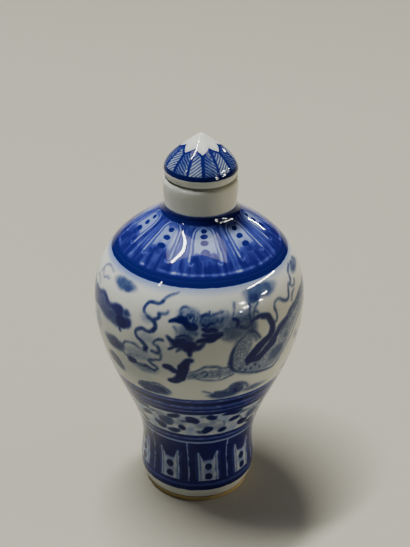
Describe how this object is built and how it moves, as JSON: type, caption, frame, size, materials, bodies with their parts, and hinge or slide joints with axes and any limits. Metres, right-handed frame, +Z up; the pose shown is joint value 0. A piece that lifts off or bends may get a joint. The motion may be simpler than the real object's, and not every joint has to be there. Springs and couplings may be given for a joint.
{
  "type": "porcelain snuff bottle with stopper",
  "caption": "Small hollow baluster-shaped porcelain snuff bottle, narrow neck, turned foot and domed lift-out stopper, painted in underglaze blue with dragon, clouds and lotus panels.",
  "frame": {"origin": "on the bottle's axis, in the plane of the foot ring's underside", "axes": "+Z up along the axis, from foot to stopper; -Y is the front in the picture, with the dragon's head; +X is to its right"},
  "size_m": [0.0422, 0.0422, 0.0797],
  "materials": {
    "bottle_glaze": "glossy clear glaze over cobalt painting on white",
    "stopper_glaze": "glossy clear glaze over cobalt leaf painting on white"
  },
  "bodies": {
    "root": {"bottle": "bottle_glaze", "stopper": "stopper_glaze"}
  },
  "joints": []
}
